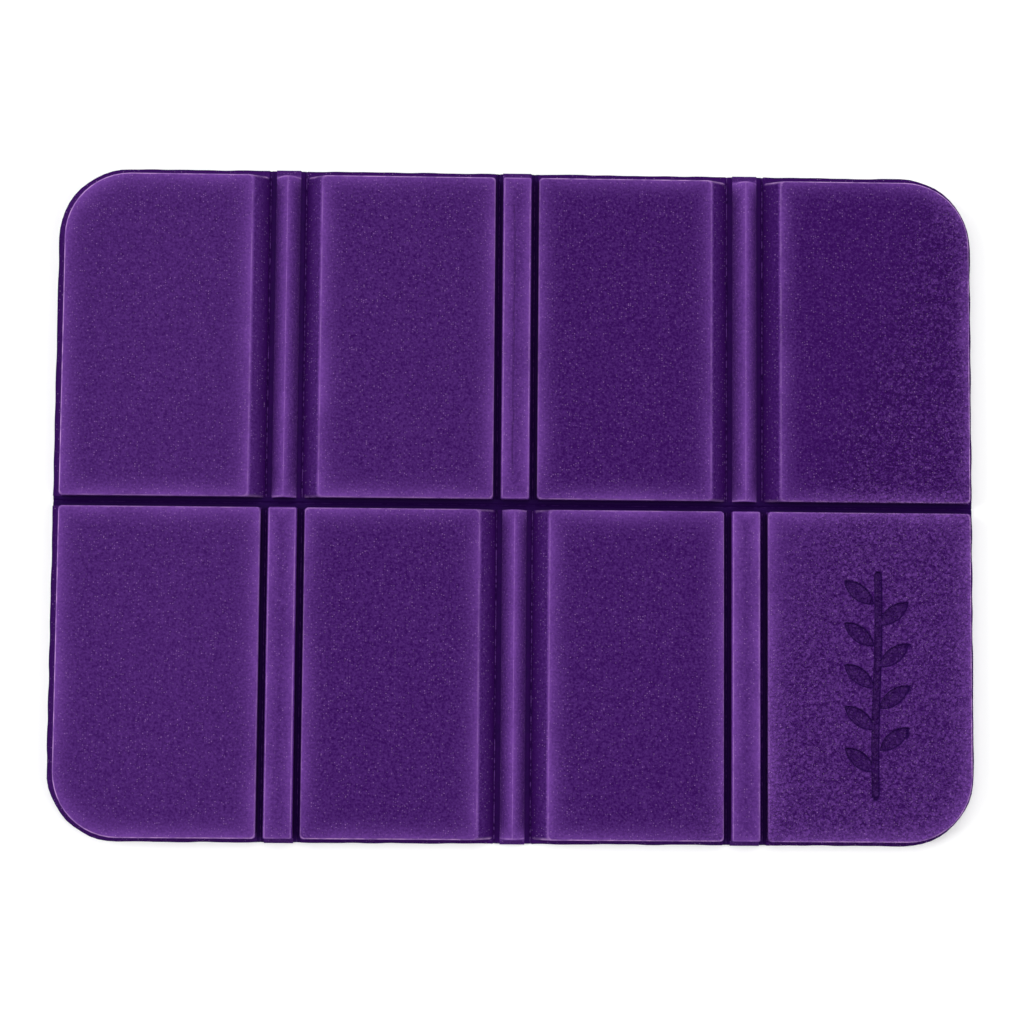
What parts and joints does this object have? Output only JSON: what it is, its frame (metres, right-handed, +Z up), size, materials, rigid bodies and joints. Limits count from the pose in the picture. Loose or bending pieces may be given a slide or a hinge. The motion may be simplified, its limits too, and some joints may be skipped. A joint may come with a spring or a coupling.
{
  "type": "folding kneeling pad",
  "caption": "Thin foam kneeling and seat pad in two rows of thick panels that fold back to back, then as a concertina, on pressed-in living hinges.",
  "frame": {"origin": "centre of the underside, with the pad lying open and flat", "axes": "+X along the long side, +Y from the near row of panels to the far row, +Z up out of the grooved face"},
  "size_m": [0.39, 0.285, 0.0074],
  "materials": {
    "panel_foam": "pressed closed-cell foam skin, satin with a fine pebble grain",
    "spine_foam": "pressed closed-cell foam skin, satin, a little paler",
    "hinge_foam": "pressed closed-cell foam, thin and smooth"
  },
  "bodies": {
    "near_2": {"near_panel_2": "panel_foam", "crease_hinge_2": "hinge_foam"},
    "far_2": {"far_panel_2": "panel_foam"},
    "near_12": {"near_spine_12": "spine_foam", "near_hinge_12_left": "hinge_foam", "near_hinge_12_right": "hinge_foam", "crease_hinge_12": "hinge_foam"},
    "far_12": {"far_spine_12": "spine_foam", "far_hinge_12_left": "hinge_foam", "far_hinge_12_right": "hinge_foam"},
    "near_1": {"near_panel_1": "panel_foam", "crease_hinge_1": "hinge_foam"},
    "far_1": {"far_panel_1": "panel_foam"},
    "near_23": {"near_spine_23": "spine_foam", "near_hinge_23_left": "hinge_foam", "near_hinge_23_right": "hinge_foam", "crease_hinge_23": "hinge_foam"},
    "far_23": {"far_spine_23": "spine_foam", "far_hinge_23_left": "hinge_foam", "far_hinge_23_right": "hinge_foam"},
    "near_3": {"near_panel_3": "panel_foam", "crease_hinge_3": "hinge_foam"},
    "far_3": {"far_panel_3": "panel_foam"},
    "near_34": {"near_spine_34": "spine_foam", "near_hinge_34_left": "hinge_foam", "near_hinge_34_right": "hinge_foam", "crease_hinge_34": "hinge_foam"},
    "far_34": {"far_spine_34": "spine_foam", "far_hinge_34_left": "hinge_foam", "far_hinge_34_right": "hinge_foam"},
    "near_4": {"near_panel_4": "panel_foam", "crease_hinge_4": "hinge_foam"},
    "far_4": {"far_panel_4": "panel_foam"}
  },
  "joints": [
    {"name": "row_fold", "type": "hinge", "parent": "near_2", "child": "far_2", "pos_m": [-0.0488, 0, -0.0001], "axis": [-1, 0, 0], "range_deg": [0, 180], "deforming": ["crease_hinge_2"]},
    {"name": "row_fold_1", "type": "hinge", "parent": "near_1", "child": "far_1", "pos_m": [-0.15, 0, -0.0001], "axis": [-1, 0, 0], "range_deg": [0, 180], "deforming": ["crease_hinge_1"]},
    {"name": "row_fold_12", "type": "hinge", "parent": "near_12", "child": "far_12", "pos_m": [-0.0976, 0, -0.0001], "axis": [-1, 0, 0], "range_deg": [0, 180], "deforming": ["crease_hinge_12", "far_hinge_12_left", "far_hinge_12_right"]},
    {"name": "row_fold_23", "type": "hinge", "parent": "near_23", "child": "far_23", "pos_m": [0, 0, -0.0001], "axis": [-1, 0, 0], "range_deg": [0, 180], "deforming": ["crease_hinge_23", "far_hinge_23_left", "far_hinge_23_right"]},
    {"name": "row_fold_3", "type": "hinge", "parent": "near_3", "child": "far_3", "pos_m": [0.0488, 0, -0.0001], "axis": [-1, 0, 0], "range_deg": [0, 180], "deforming": ["crease_hinge_3"]},
    {"name": "row_fold_34", "type": "hinge", "parent": "near_34", "child": "far_34", "pos_m": [0.0976, 0, -0.0001], "axis": [-1, 0, 0], "range_deg": [0, 180], "deforming": ["crease_hinge_34", "far_hinge_34_left", "far_hinge_34_right"]},
    {"name": "row_fold_4", "type": "hinge", "parent": "near_4", "child": "far_4", "pos_m": [0.15, 0, -0.0001], "axis": [-1, 0, 0], "range_deg": [0, 180], "deforming": ["crease_hinge_4"]},
    {"name": "fold_12", "type": "hinge", "parent": "near_2", "child": "near_12", "pos_m": [-0.09, -0.0722, -0.0001], "axis": [0, -1, 0], "range_deg": [0, 90], "deforming": ["near_hinge_12_right"]},
    {"name": "fold_12_outer", "type": "hinge", "parent": "near_12", "child": "near_1", "pos_m": [-0.1052, -0.0722, -0.0001], "axis": [0, -1, 0], "range_deg": [0, 90], "deforming": ["near_hinge_12_left"]},
    {"name": "fold_23", "type": "hinge", "parent": "near_2", "child": "near_23", "pos_m": [-0.0076, -0.0722, -0.0001], "axis": [0, -1, 0], "range_deg": [0, 90], "deforming": ["near_hinge_23_left", "far_spine_23"]},
    {"name": "fold_23_outer", "type": "hinge", "parent": "near_23", "child": "near_3", "pos_m": [0.0076, -0.0722, -0.0001], "axis": [0, -1, 0], "range_deg": [0, 90], "deforming": ["near_hinge_23_right"]},
    {"name": "fold_34", "type": "hinge", "parent": "near_3", "child": "near_34", "pos_m": [0.09, -0.0722, -0.0001], "axis": [0, 1, 0], "range_deg": [0, 90], "deforming": ["near_hinge_34_left"]},
    {"name": "fold_34_outer", "type": "hinge", "parent": "near_34", "child": "near_4", "pos_m": [0.1052, -0.0722, -0.0001], "axis": [0, 1, 0], "range_deg": [0, 90], "deforming": ["near_hinge_34_right"]}
  ],
  "couplings": [
    {"joint": "row_fold_1", "follows": "row_fold", "ratio": 1},
    {"joint": "row_fold_12", "follows": "row_fold", "ratio": 1},
    {"joint": "row_fold_23", "follows": "row_fold", "ratio": 1},
    {"joint": "row_fold_3", "follows": "row_fold", "ratio": 1},
    {"joint": "row_fold_34", "follows": "row_fold", "ratio": 1},
    {"joint": "row_fold_4", "follows": "row_fold", "ratio": 1},
    {"joint": "fold_12_outer", "follows": "fold_12", "ratio": 1},
    {"joint": "fold_23_outer", "follows": "fold_23", "ratio": 1},
    {"joint": "fold_34_outer", "follows": "fold_34", "ratio": 1}
  ]
}
